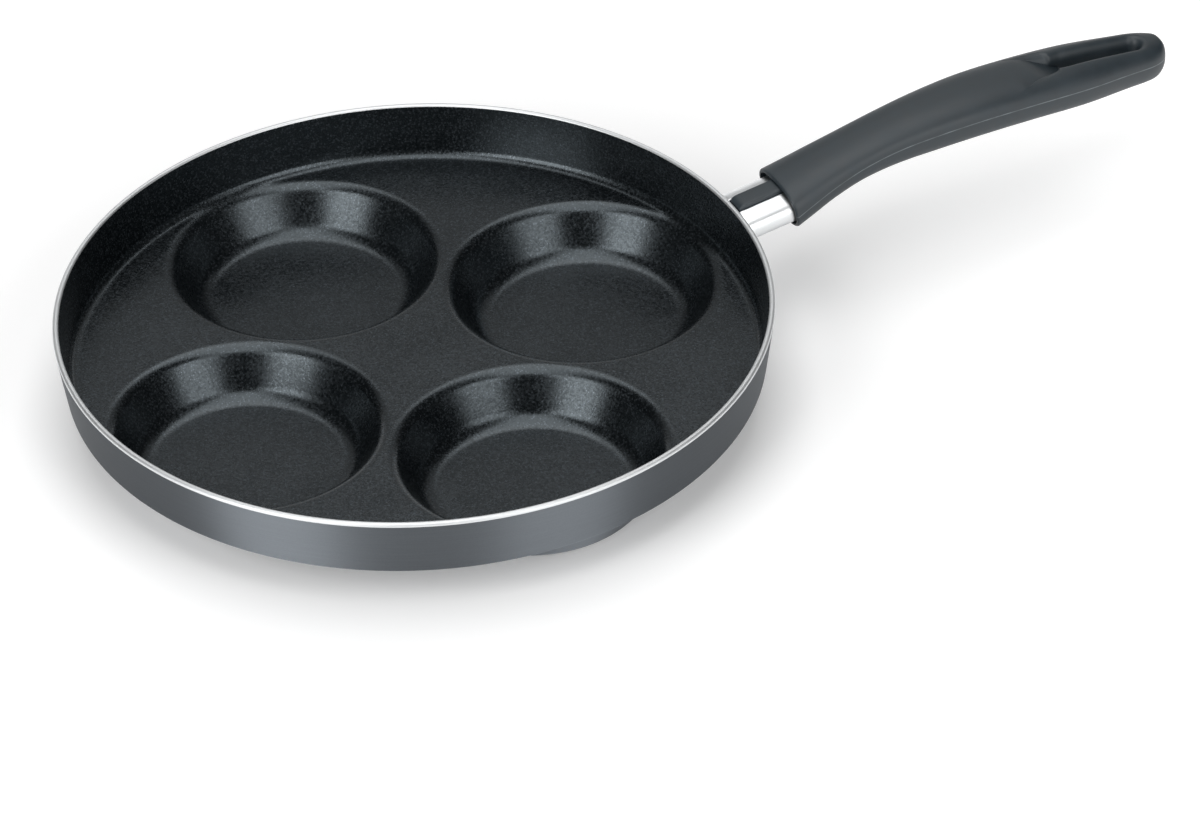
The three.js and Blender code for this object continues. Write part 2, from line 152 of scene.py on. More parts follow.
def sprayedNonstick():
    # PTFE sprayed and baked on pressed aluminium: satin, near black, with mica flecks that glint in it
    # and a fine orange-peel skin that breaks highlights into grain
    # (real grit and flecks 0.1 mm, drawn 0.95 and 0.75 mm apart to show)
    material, tree = newMaterial("sprayedNonstick")
    place = addNode(tree, "ShaderNodeTexCoord").outputs["Object"]
    grain = addNode(tree, "ShaderNodeTexNoise", {}, {
        "Vector": place, "Scale": 1 / (coatLook["grit"] * mm), "Detail": 3.0, "Roughness": 0.7})
    flecks = addNode(tree, "ShaderNodeTexVoronoi", {"feature": "F1"}, {
        "Vector": place, "Scale": 1 / (coatLook["fleckSpacing"] * mm), "Randomness": 1.0})
    fleckMask = addNode(tree, "ShaderNodeMapRange", {}, {
        "Value": flecks.outputs["Distance"], "From Min": coatLook["fleckCore"],
        "From Max": coatLook["fleckEdge"], "To Min": 1.0, "To Max": 0.0})
    pick = addNode(tree, "ShaderNodeMath", {"operation": "GREATER_THAN"}, {
        0: flecks.outputs["Color"], 1: coatLook["fleckless"]})
    fleck = addNode(tree, "ShaderNodeMath", {"operation": "MULTIPLY"}, {
        0: fleckMask.outputs["Result"], 1: pick.outputs[0]})
    cloud = addNode(tree, "ShaderNodeTexNoise", {}, {
        "Vector": place, "Scale": 1 / (coatLook["cloud"] * mm), "Detail": 2.0})
    speck = addNode(tree, "ShaderNodeMapRange", {}, {
        "Value": grain.outputs["Fac"], "From Min": 0.35, "From Max": 0.65})
    ground = addNode(tree, "ShaderNodeMix", {"data_type": "RGBA"}, {
        "Factor": speck.outputs["Result"], 6: toLinear(coatLook["colour"]), 7: toLinear(coatLook["grain"])})
    base = addNode(tree, "ShaderNodeMix", {"data_type": "RGBA"}, {
        "Factor": fleck.outputs[0], 6: ground.outputs[2], 7: toLinear(coatLook["fleck"])})
    drift = addNode(tree, "ShaderNodeMath", {"operation": "MULTIPLY"}, {
        0: cloud.outputs["Fac"], 1: coatLook["cloudShare"]})
    mixed = addNode(tree, "ShaderNodeMath", {"operation": "SUBTRACT"}, {
        0: drift.outputs[0], 1: grain.outputs["Fac"]})
    # the grains' tops are glossier than the pits between them
    rough = addNode(tree, "ShaderNodeMapRange", {}, {
        "Value": mixed.outputs[0], "From Min": -0.55, "From Max": -0.15,
        "To Min": coatLook["roughness"] - coatLook["glossSpread"],
        "To Max": coatLook["roughness"] + coatLook["glossSpread"]})
    bump = addNode(tree, "ShaderNodeBump", {}, {
        "Height": grain.outputs["Fac"], "Strength": coatLook["bump"],
        "Distance": coatLook["bumpHeight"] * mm})
    shader = addNode(tree, "ShaderNodeBsdfPrincipled", {}, {
        "Base Color": base.outputs[2], "Metallic": fleck.outputs[0], "Roughness": rough.outputs["Result"],
        "IOR": coatLook["ior"], "Specular Tint": toLinear(coatLook["sheen"]),
        "Normal": bump.outputs["Normal"]})
    addNode(tree, "ShaderNodeOutputMaterial", {}, {"Surface": shader.outputs[0]})
    return material


rimLook = {
    "colour": "#dcdedf", "roughness": 0.48, "glossier": 0.06, "duller": 0.1,
    "toolMark": 0.25, "markLength": 16.67,
}


def turnedAluminium():
    # rim edge turned bare after coating: bright metal with fine rings round the pan
    # (real tool marks 0.05 mm, drawn 0.25 mm apart in height)
    material, tree = newMaterial("turnedAluminium")
    along = 1 / (rimLook["markLength"] * mm)
    place = addNode(tree, "ShaderNodeTexCoord").outputs["Object"]
    flat = addNode(tree, "ShaderNodeVectorMath", {"operation": "MULTIPLY"}, {
        0: place, 1: (along, along, 1 / (rimLook["toolMark"] * mm))})
    rings = addNode(tree, "ShaderNodeTexNoise", {}, {
        "Vector": flat.outputs[0], "Scale": 1.0, "Detail": 2.0})
    rough = addNode(tree, "ShaderNodeMapRange", {}, {
        "Value": rings.outputs["Fac"],
        "To Min": rimLook["roughness"] - rimLook["glossier"],
        "To Max": rimLook["roughness"] + rimLook["duller"]})
    shader = addNode(tree, "ShaderNodeBsdfPrincipled", {}, {
        "Base Color": toLinear(rimLook["colour"]), "Metallic": 1.0, "Roughness": rough.outputs["Result"]})
    addNode(tree, "ShaderNodeOutputMaterial", {}, {"Surface": shader.outputs[0]})
    return material


lacquerLook = {"colour": "#757a7f", "roughness": 0.6, "grit": 0.6, "ring": 0.4, "ringLength": 25.0}


def bakedLacquer():
    # grey-tinted lacquer on spun aluminium: the fine rings under it draw each light out into
    # an upright band (real rings 0.05 mm, drawn 0.4 mm), and it darkens where no light faces it
    material, tree = newMaterial("lacqueredSpunAluminium")
    along = 1 / (lacquerLook["ringLength"] * mm)
    place = addNode(tree, "ShaderNodeTexCoord").outputs["Object"]
    flat = addNode(tree, "ShaderNodeVectorMath", {"operation": "MULTIPLY"}, {
        0: place, 1: (along, along, 1 / (lacquerLook["ring"] * mm))})
    rings = addNode(tree, "ShaderNodeTexNoise", {}, {
        "Vector": flat.outputs[0], "Scale": 1.0, "Detail": 2.0})
    flake = addNode(tree, "ShaderNodeTexNoise", {}, {
        "Vector": place, "Scale": 1 / (lacquerLook["grit"] * mm), "Detail": 2.0, "Roughness": 0.7})
    both = addNode(tree, "ShaderNodeMath", {"operation": "ADD"}, {
        0: rings.outputs["Fac"], 1: flake.outputs["Fac"]})
    value = addNode(tree, "ShaderNodeMapRange", {}, {
        "Value": both.outputs[0], "From Min": 0.7, "From Max": 1.3, "To Min": 0.95, "To Max": 1.05})
    tone = addNode(tree, "ShaderNodeHueSaturation", {}, {
        "Color": toLinear(lacquerLook["colour"]), "Value": value.outputs["Result"]})
    around = addNode(tree, "ShaderNodeTangent", {"direction_type": "RADIAL", "axis": "Z"})
    shader = addNode(tree, "ShaderNodeBsdfPrincipled", {}, {
        "Base Color": tone.outputs["Color"], "Roughness": lacquerLook["roughness"], "Metallic": 1.0,
        "Anisotropic": 1.0, "Anisotropic Rotation": 0.25, "Tangent": around.outputs[0],
        "Coat Weight": 0.1, "Coat Roughness": 0.2})
    addNode(tree, "ShaderNodeOutputMaterial", {}, {"Surface": shader.outputs[0]})
    return material


gripLook = {
    "colour": "#1f292f", "line": "#6a7174", "lineHalfWidth": 0.24, "ior": 1.6, "roughness": 0.5,
    "glossSpread": 0.04, "cloud": 5.0, "skin": 0.5, "bump": 0.25, "bumpHeight": 0.04,
    "lineFrom": 0.7,   # share of the half width past which the line is drawn
}


def mouldedPhenolic():
    # phenolic resin pressed in a steel mould: dark grey, soft sheen, faint cloudiness,
    # and a thin paler line where the trimmed flash of the two mould halves ran
    material, tree = newMaterial("mouldedPhenolic")
    place = addNode(tree, "ShaderNodeTexCoord").outputs["Object"]
    seam = addNode(tree, "ShaderNodeAttribute", {"attribute_name": "aboveParting"})
    away = addNode(tree, "ShaderNodeMath", {"operation": "ABSOLUTE"}, {0: seam.outputs["Fac"]})
    patchy = addNode(tree, "ShaderNodeTexNoise", {}, {
        "Vector": place, "Scale": 1 / (gripLook["cloud"] * mm), "Detail": 3.0})
    strength = addNode(tree, "ShaderNodeMapRange", {}, {
        "Value": patchy.outputs["Fac"], "From Min": 0.35, "From Max": 0.65, "To Min": 0.35, "To Max": 1.0})
    line = addNode(tree, "ShaderNodeMapRange", {}, {
        "Value": away.outputs[0], "From Min": gripLook["lineHalfWidth"] * 0.5,
        "From Max": gripLook["lineHalfWidth"], "To Min": 1.0, "To Max": 0.0})
    shown = addNode(tree, "ShaderNodeMath", {"operation": "MULTIPLY"}, {
        0: line.outputs["Result"], 1: strength.outputs["Result"]})
    shade = addNode(tree, "ShaderNodeMapRange", {}, {
        "Value": patchy.outputs["Fac"], "From Min": 0.3, "From Max": 0.7, "To Min": 0.85, "To Max": 1.15})
    resin = addNode(tree, "ShaderNodeHueSaturation", {}, {
        "Color": toLinear(gripLook["colour"]), "Value": shade.outputs["Result"]})
    base = addNode(tree, "ShaderNodeMix", {"data_type": "RGBA"}, {
        "Factor": shown.outputs[0], 6: resin.outputs["Color"], 7: toLinear(gripLook["line"])})
    skin = addNode(tree, "ShaderNodeTexNoise", {}, {
        "Vector": place, "Scale": 1 / (gripLook["skin"] * mm), "Detail": 3.0, "Roughness": 0.6})
    rough = addNode(tree, "ShaderNodeMapRange", {}, {
        "Value": patchy.outputs["Fac"], "From Min": 0.3, "From Max": 0.7,
        "To Min": gripLook["roughness"] - gripLook["glossSpread"],
        "To Max": gripLook["roughness"] + gripLook["glossSpread"]})
    bump = addNode(tree, "ShaderNodeBump", {}, {
        "Height": skin.outputs["Fac"], "Strength": gripLook["bump"],
        "Distance": gripLook["bumpHeight"] * mm})
    shader = addNode(tree, "ShaderNodeBsdfPrincipled", {}, {
        "Base Color": base.outputs[2], "Roughness": rough.outputs["Result"], "IOR": gripLook["ior"],
        "Normal": bump.outputs["Normal"]})
    addNode(tree, "ShaderNodeOutputMaterial", {}, {"Surface": shader.outputs[0]})
    return material


streakLook = {"length": 20.0, "glossSpread": 0.15, "bump": 0.05, "bumpHeight": 0.02}


def metalLook(name, colour, roughness, streak):
    # drawn or plated metal: mirror-like body with faint streaks along the part, so gloss varies
    material, tree = newMaterial(name)
    place = addNode(tree, "ShaderNodeTexCoord").outputs["Object"]
    run = addNode(tree, "ShaderNodeVectorMath", {"operation": "MULTIPLY"}, {
        0: place, 1: (1 / (streakLook["length"] * mm), 1 / (streak * mm), 1 / (streak * mm))})
    lines = addNode(tree, "ShaderNodeTexNoise", {}, {"Vector": run.outputs[0], "Scale": 1.0, "Detail": 3.0})
    rough = addNode(tree, "ShaderNodeMapRange", {}, {
        "Value": lines.outputs["Fac"], "From Min": 0.3, "From Max": 0.7,
        "To Min": roughness * (1 - streakLook["glossSpread"]),
        "To Max": roughness * (1 + streakLook["glossSpread"])})
    bump = addNode(tree, "ShaderNodeBump", {}, {
        "Height": lines.outputs["Fac"], "Strength": streakLook["bump"],
        "Distance": streakLook["bumpHeight"] * mm})
    shader = addNode(tree, "ShaderNodeBsdfPrincipled", {}, {
        "Base Color": toLinear(colour), "Metallic": 1.0, "Roughness": rough.outputs["Result"],
        "Normal": bump.outputs["Normal"]})
    addNode(tree, "ShaderNodeOutputMaterial", {}, {"Surface": shader.outputs[0]})
    return material


nonstick, bareRim = sprayedNonstick(), turnedAluminium()
lacquer, phenolic = bakedLacquer(), mouldedPhenolic()
stainless = metalLook("polishedStainless", "#e6e8e9", 0.34, 0.4)
zincPlate = metalLook("zincPlatedSteel", "#c3c6c9", 0.32, 0.5)
weldAluminium = metalLook("bareAluminium", "#cfd1d2", 0.38, 0.6)
print("materials made")

# pressed pan

pan = {
    "rimRadius": 125.0, "rimTop": 22.2, "rimRound": 1.05, "sheet": 2.2, "wallTaper": 0.15,
    "footEdge": 1.0, "wallFillet": 3.2, "cups": 4, "cupCentre": 70.2, "cupTurn": math.radians(7.9),
    "cupMouth": 46.46, "cupDepth": 16.0, "cupTaper": 0.574, "shoulder": 5.8, "corner": 8.3,
    "edgeSteps": 16, "cupEdgeSteps": 9, "arcSteps": 60, "lineSteps": 40, "flatSteps": 18,
    "footRun": 3.5, "footSteps": 9,   # closer points where the wall's foot bends
    "bottomSteps": 4, "clear": 0.05, "bareSteps": 13,   # the last: steps of the lip's inner arc left bare
}
cupAngle = 2 * np.pi / pan["cups"]


def panProfile():
    # right half of the dish cut through: underside, outer wall, round edge, inner wall, floor
    top, sheet, taper = pan["rimTop"], pan["sheet"], pan["wallTaper"]
    outerFoot = pan["rimRadius"] - taper * top
    innerFoot = pan["rimRadius"] - sheet - taper * (top - sheet)
    return rounded([
        [0, 0, 0], [outerFoot, 0, pan["footEdge"]],
        [pan["rimRadius"], top, pan["rimRound"]], [pan["rimRadius"] - sheet, top, pan["rimRound"]],
        [innerFoot, sheet, pan["wallFillet"]], [0, sheet, 0]], pan["edgeSteps"])


def cupProfile(under):
    # half of a cup cut through, from its middle out to where the floor is flat again;
    # the underside runs one sheet below, with its fillets grown or shrunk by the sheet
    drop = pan["sheet"] if under else 0.0
    floor = pan["sheet"] - drop
    deep = floor - pan["cupDepth"]
    shift = drop * math.hypot(1, pan["cupTaper"]) - pan["cupTaper"] * drop
    mouth = pan["cupMouth"] + shift
    bottom = mouth - pan["cupTaper"] * pan["cupDepth"]
    corner, shoulder = pan["corner"] + drop, pan["shoulder"] - drop
    # the last corner only gives the shoulder its direction
    run = rounded([
        [0, deep, 0], [bottom, deep, corner],
        [mouth, floor, shoulder], [2 * mouth, floor, 0]], pan["cupEdgeSteps"])
    inside = np.linspace(0, run[1, 0], pan["bottomSteps"] + 1)[:-1]
    flat = np.stack([inside, np.full(len(inside), deep)], -1)
    return np.concatenate([flat, run[1:-1]])


def cupWedges(cup, rise, edgeRadius):
    # each quarter of the floor is a fan of rays from its cup's middle: first the cup's own profile,
    # then the flat floor out to the quarter's border, plus what the wall's foot rises at that radius
    centre, half = pan["cupCentre"], cupAngle / 2
    arc = np.linspace(-half, half, pan["arcSteps"] + 1)
    foot = edgeRadius - pan["footRun"]
    out = np.concatenate([
        np.linspace(edgeRadius, foot, pan["footSteps"] + 1)[1:],
        np.linspace(foot, 0, pan["lineSteps"] + 1)[1:]])
    radius = np.concatenate([np.full(len(arc), edgeRadius), out, out[::-1][1:]])
    angle = np.concatenate([arc, np.full(len(out), half), np.full(len(out) - 1, -half)])
    border = np.stack([radius * np.cos(angle) - centre, radius * np.sin(angle)], -1)
    reach = np.hypot(*border.T)
    way = border / reach[:, None]
    spread = 1 - (1 - np.linspace(0, 1, pan["flatSteps"] + 1)[1:]) ** 2
    last = cup[-1, 0]
    along = np.concatenate([np.repeat(cup[:, :1], len(reach), 1), last + (reach - last) * spread[:, None]])
    along = np.minimum(along, reach)   # neighbouring shoulders just touch at the narrowest place
    level = np.interp(along, cup[:, 0], cup[:, 1])
    x, y = centre + along * way[:, 0], along * way[:, 1]
    z = level + np.interp(np.hypot(x, y), rise[:, 0], rise[:, 1]) - rise[0, 1]
    grids = []
    for k in range(pan["cups"]):
        turn = pan["cupTurn"] + k * cupAngle
        grids.append(np.stack([
            x * np.cos(turn) - y * np.sin(turn), x * np.sin(turn) + y * np.cos(turn), z], -1))
    return grids


dish = panProfile()
inner, outer = cupProfile(False), cupProfile(True)
# the cups' patches end on the foot's arc, below, and on the wall's fillet, above
need = pan["cupCentre"] + inner[-1, 0] + pan["clear"]
arc = pan["edgeSteps"] + 1   # points on each of the four rounded edges
start = 1 + int(np.argmax(dish[1:arc, 0] > need))
end = len(dish) - 2 - int(np.argmax(dish[-2:-1 - arc:-1, 0] > need))
underRise, floorRise = dish[:start + 1], dish[end:][::-1]
panPatches = [(g, True, 0) for g in cupWedges(inner, floorRise, dish[end, 0])]
panPatches += [(g, True, 2) for g in cupWedges(outer, underRise, dish[start, 0])]
quarter = np.linspace(-cupAngle / 2, cupAngle / 2, pan["arcSteps"] + 1)[:-1]
around = np.concatenate([quarter + pan["cupTurn"] + k * cupAngle for k in range(pan["cups"])])
# the lacquer stops where the lip's outer arc starts, and the nonstick coat part way down its inner arc
rimFrom, rimTo = 1 + arc, 1 + 2 * arc + pan["bareSteps"]
for run, number in ((dish[start:rimFrom + 1], 2), (dish[rimFrom:rimTo + 1], 1), (dish[rimTo:end + 1], 0)):
    radius, height = run[:, :1], np.repeat(run[:, 1:], len(around), 1)
    turned = np.stack([radius * np.cos(around), radius * np.sin(around), height], -1)
    panPatches.append((turned, True, number))
panPiece = makePiece(
    "panPressing", panPatches, [nonstick, bareRim, lacquer], "pan_body")
panPiece.modifiers.new("trueFlats", "WEIGHTED_NORMAL")

# flame guard

guard = {
    "x": 128.0, "z": 16.0, "slope": math.atan(0.125), "halfWidth": 11.8, "halfHeight": 5.5, "wall": 0.8,
    "power": 2.6, "rear": 16.4, "gap": 0.3, "slotHalf": 4.1, "edgeRoll": 0.25,
    "rollFrom": math.radians(40), "rollSteps": 3, "aroundSteps": 160, "alongSteps": 12,
}


def onGuardLine(place, across, up):
    # a point by its place along the guard's climbing line, and across and above it
    cos, sin = math.cos(guard["slope"]), math.sin(guard["slope"])
    x, z = guard["x"] + place * cos - up * sin, guard["z"] + place * sin + up * cos
    return np.stack(np.broadcast_arrays(x, across, z), -1)


def placeAtWall(across, up, gap):
    # where a line at this height and side meets the pan's tapered wall, found by a few repeated steps
    cos, sin = math.cos(guard["slope"]), math.sin(guard["slope"])
    place = np.zeros_like(across * up)
    for step in range(6):
        z = guard["z"] + place * sin + up * cos
        radius = pan["rimRadius"] - pan["wallTaper"] * np.maximum(pan["rimTop"] - z, 0)
        place = (np.sqrt(radius ** 2 - across ** 2) + gap - guard["x"] + up * sin) / cos
    return place


def guardSleeve():
    # a thin oval band, open along its top: its outline runs out round the sleeve and back inside,
    # with both lips rolled, and is carried from the pan's wall to inside the grip
    gapAngle = math.acos((guard["slotHalf"] / guard["halfWidth"]) ** (guard["power"] / 2))
    angle = np.linspace(np.pi - gapAngle, 2 * np.pi + gapAngle, guard["aroundSteps"] + 1)
    power, wall = guard["power"], guard["wall"]
    wide, high = guard["halfWidth"], guard["halfHeight"]
    outY, outZ = oval(angle, wide, high, high, power)
    inY, inZ = oval(angle, wide - wall, high - wall, high - wall, power)
    across, up = np.stack([outY, inY]), np.stack([outZ, inZ])
    depth = np.linspace(0, 1, guard["alongSteps"] + 1)[:, None, None]
    place = placeAtWall(across, up, guard["gap"]) * (1 - depth) + guard["rear"] * depth
    solid = onGuardLine(place, across, up)
    outside, inside, front, rear = solid[:, 0], solid[:, 1], solid[0], solid[-1]
    lips = [solid[:, :, 0], solid[:, :, -1]]
    return [(side, False, 0) for side in (outside, inside, front, rear, *lips)]


guardPiece = makePiece("flameGuardSleeve", guardSleeve(), [stainless], "flame_guard")
edges = guardPiece.modifiers.new("rolledEdges", "BEVEL")
edges.width, edges.segments = guard["edgeRoll"] * mm, guard["rollSteps"]
edges.limit_method, edges.angle_limit = "ANGLE", guard["rollFrom"]

# grip

grip = {
    "tip": 298.4, "widthRound": (285.5, 2.5), "topRound": (296.0, 2.4), "underRound": (290.5, 2.2),
    "power": 2.5, "mouthLean": 0.18, "leanOver": 40.0, "join": 226.0, "mouthRound": 0.9,
    "socketSide": 1.1, "socketAbove": 2.2, "socketDepth": 17.0, "coreFront": 8.0, "coreGap": 1.1,
    "slotFront": 258.2, "slotRear": 285.7, "slotFrontRadius": 3.0, "slotRearRadius": 2.7,
    "slotBlunt": 0.45, "slotWaist": 0.3, "underEdge": 2.4,
    "rampStart": 238.2, "rampHalfWidth": 9.8, "rampNarrow": 253.4, "rampTop": (243.2, 40.3),
    "rampFoot": (259.2, 33.0), "rampEdge": 4.6, "rampPower": 1.4,
    "armEdge": 3.9, "armDrop": 6.0, "armPower": 2.2, "fullAfter": 1.0, "dropAfter": 3.0,
    "recessStart": (126.0, 16.2), "recessSlope": 0.02, "recessFrom": 147.2, "recessTo": 197.0,
    "recessRadius": 4.3,
}
gripSteps = {
    "around": 96, "mouth": 6, "body": 109, "ramp": 30, "back": 70, "armEdge": 12, "armTop": 30,
    "slotWall": 10, "recess": 64, "measure": 4000,
    "rampEase": 1.6, "armEase": 0.9,   # steps get closer towards the slot, and towards the outline
}
# along the grip: place, half width, top, underside, parting line
gripStations = np.array([
    [142.8, 14.4, 26.4, 10.1, 18.3], [150, 13.4, 28.4, 12.6, 21.0], [160, 12.3, 31.1, 16.4, 24.7],
    [172, 11.6, 33.9, 19.7, 28.3], [186, 11.7, 36.9, 21.5, 31.1], [202, 12.7, 39.1, 22.3, 32.9],
    [220, 13.7, 40.3, 22.9, 33.9], [240, 13.8, 40.3, 22.6, 33.6], [262, 12.9, 39.6, 21.5, 32.4],
    [282, 10.6, 37.6, 21.3, 31.2], [300, 9.0, 35.2, 21.1, 29.9]])


def station(column, x):
    # smooth run through the stations: cubic pieces whose slopes come from the neighbouring stations
    at, value = gripStations[:, 0], gripStations[:, column]
    low, high = np.maximum(np.arange(len(at)) - 1, 0), np.minimum(np.arange(len(at)) + 1, len(at) - 1)
    slope = (value[high] - value[low]) / (at[high] - at[low])
    i = np.clip(np.searchsorted(at, x, side="right") - 1, 0, len(at) - 2)
    span = at[i + 1] - at[i]
    t = (x - at[i]) / span
    ease = t * t * (3 - 2 * t)
    bend = slope[i] * t * (1 - t) ** 2 - slope[i + 1] * t * t * (1 - t)
    return value[i] * (1 - ease) + value[i + 1] * ease + span * bend


def tipRound(x, start, power):
    # falls from 1 to 0 between start and the tip as a quarter of a superellipse
    u = np.clip((x - start) / (grip["tip"] - start), 0, 1)
    return (1 - u ** power) ** (1 / power)


def gripSize(x):
    # half width, parting height, and the heights of top and underside from it
    wide = station(1, x) * tipRound(x, *grip["widthRound"])
    parting = station(4, x)
    above = (station(2, x) - parting) * tipRound(x, *grip["topRound"])
    below = (parting - station(3, x)) * tipRound(x, *grip["underRound"])
    return wide, parting, above, below


def gripRings(x, angle, inset=0.0):
    # cross-sections of the grip, leaning square to the guard near the mouth, shrunk by inset
    wide, parting, above, below = gripSize(x)
    across, up = oval(angle, wide - inset, above - inset, below - inset, grip["power"])
    lean = grip["mouthLean"] * np.clip(1 - (x - gripStations[0, 0]) / grip["leanOver"], 0, 1)
    return np.stack(np.broadcast_arrays(x - up * lean, across, parting + up), -1)


def gripFront(angle):
    # from the core inside the guard, round the socket and the mouth's rounded edge, and along to the slot
    side, depth, core = guard["halfWidth"], grip["socketDepth"], -grip["coreGap"]
    high, power = guard["halfHeight"], guard["power"]
    coreY, coreZ = oval(angle, side + core, high + core, high + core, power)
    pitY, pitZ = oval(
        angle, side + grip["socketSide"], high + grip["socketAbove"], high + grip["socketSide"], power)
    cos, sin = math.cos(guard["slope"]), math.sin(guard["slope"])
    x0, parting, lean = gripStations[0, 0], gripStations[0, 4], grip["mouthLean"]
    mouth = (x0 - lean * (guard["z"] + pitZ * cos - parting) - guard["x"] + pitZ * sin) / (cos + lean * sin)
    nose = grip["coreFront"]
    rows = [onGuardLine(nose, 0 * coreY, 0 * coreZ), onGuardLine(nose, coreY, coreZ),
            onGuardLine(depth, coreY, coreZ), onGuardLine(depth, pitY, pitZ)]
    rows += [onGuardLine(depth + (mouth - depth) * f, pitY, pitZ) for f in (0.5, 1.0)]
    turn = np.linspace(0, np.pi / 2, gripSteps["mouth"] + 1)[:, None]
    edge = grip["mouthRound"]
    rim = gripRings(x0 + edge * (1 - np.cos(turn)), angle, edge * (1 - np.sin(turn)))
    body = gripRings(np.linspace(x0 + edge, grip["join"], gripSteps["body"] + 1)[1:, None], angle)
    return np.concatenate([np.stack(rows), rim, body])


def topHeight(x, y):
    # the grip's top over a point of the plan
    wide, parting, above, below = gripSize(x)
    share = np.clip(np.abs(y) / np.maximum(wide, 1e-9), 0, 1)
    return parting + above * (1 - share ** grip["power"]) ** (1 / grip["power"])


def underHeight(x, y):
    # the underside over a point of the plan, rounded up into the slot by its distance from the outline
    wide, parting, above, below = gripSize(x)
    share = np.clip(np.abs(y) / np.maximum(wide, 1e-9), 0, 1)
    near = grip["underEdge"] - np.minimum(np.maximum(slotDistance(x, y), 0), grip["underEdge"])
    lift = grip["underEdge"] - np.sqrt(grip["underEdge"] ** 2 - near ** 2)
    return parting - below * (1 - share ** grip["power"]) ** (1 / grip["power"]) + lift


def slotRadius(x):
    # changes evenly from the front end's radius to the rear end's
    part = np.clip((x - grip["slotFront"]) / (grip["slotRear"] - grip["slotFront"]), 0, 1)
    return grip["slotFrontRadius"] + (grip["slotRearRadius"] - grip["slotFrontRadius"]) * part


def slotDistance(x, y):
    # distance from the slot's outline; its front end is a flattened half circle
    ahead = np.minimum(x - grip["slotFront"], 0) / grip["slotBlunt"]
    return np.hypot(ahead + np.maximum(x - grip["slotRear"], 0), y) - slotRadius(x)


def rampWidth(x):
    # the ramp tapers to the slot's width before it ends
    part = np.clip((grip["rampNarrow"] - x) / (grip["rampNarrow"] - grip["rampStart"]), 0, 1)
    return grip["slotFrontRadius"] + (grip["rampHalfWidth"] - grip["slotFrontRadius"]) * part


def rampHeight(x, y):
    # the plane that runs down into the slot's front end, blended over 1 mm with the top where it starts
    (x0, z0), (x1, z1) = grip["rampTop"], grip["rampFoot"]
    plane = z0 + (z1 - z0) * (x - x0) / (x1 - x0)
    return -np.logaddexp(-plane, -topHeight(x, y))


